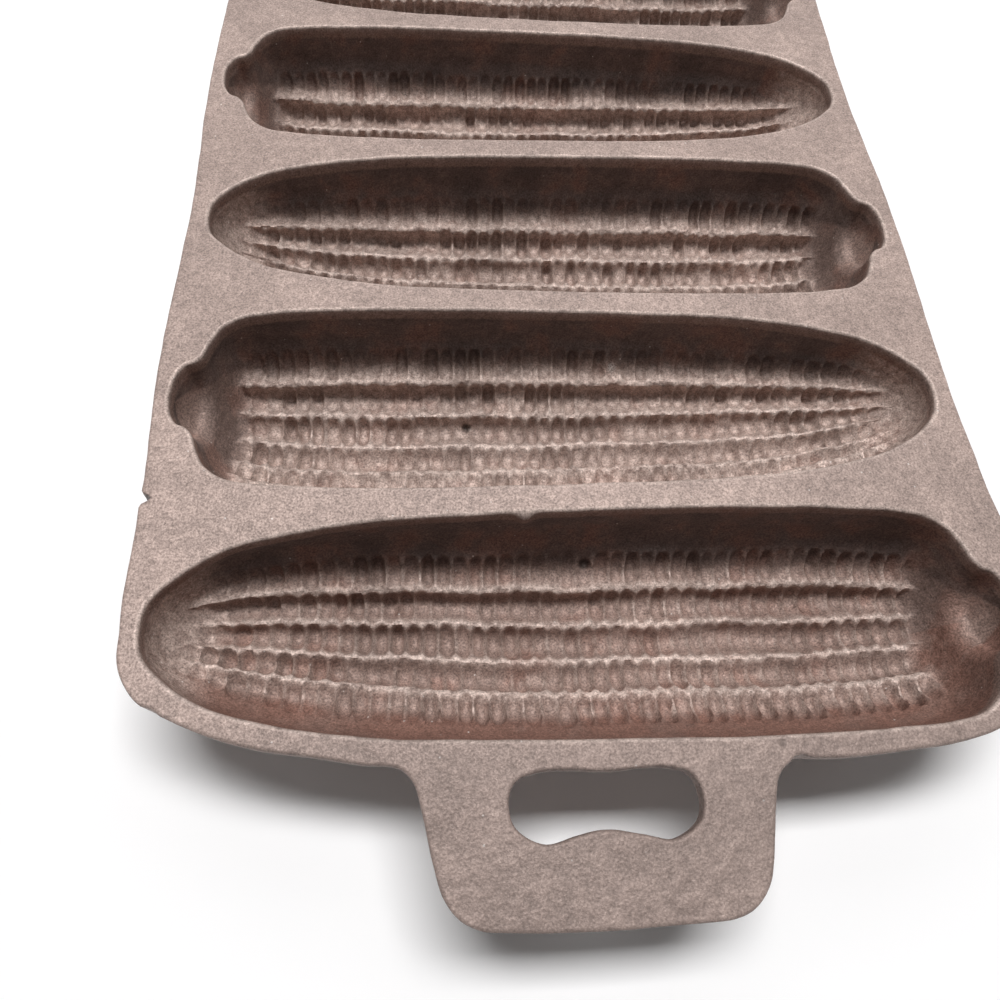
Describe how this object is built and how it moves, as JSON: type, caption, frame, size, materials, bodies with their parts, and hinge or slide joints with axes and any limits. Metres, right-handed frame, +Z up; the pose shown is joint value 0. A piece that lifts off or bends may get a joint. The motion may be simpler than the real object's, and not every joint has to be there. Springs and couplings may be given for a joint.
{
  "type": "corn stick pan",
  "caption": "Cast iron corn stick pan: a flat deck with a row of ear-shaped kernel-lined cups laid head to tail, and a slotted handle tab at each end.",
  "frame": {"origin": "on the surface that the pan stands on, below the middle of the pan", "axes": "+X along the cups, +Y along the row of cups from the near handle to the far handle, +Z up"},
  "size_m": [0.148, 0.337, 0.0235],
  "materials": {
    "plate_iron": "bare as-cast iron, fine sand grain, dull satin grey-brown",
    "cup_iron": "seasoned as-cast iron, dark brown, dull satin"
  },
  "bodies": {
    "root": {"deck": "plate_iron", "corn_cup_1": "cup_iron", "corn_cup_2": "cup_iron", "corn_cup_3": "cup_iron", "corn_cup_4": "cup_iron", "corn_cup_5": "cup_iron", "corn_cup_6": "cup_iron", "corn_cup_7": "cup_iron", "near_handle": "plate_iron", "far_handle": "plate_iron"}
  },
  "joints": []
}
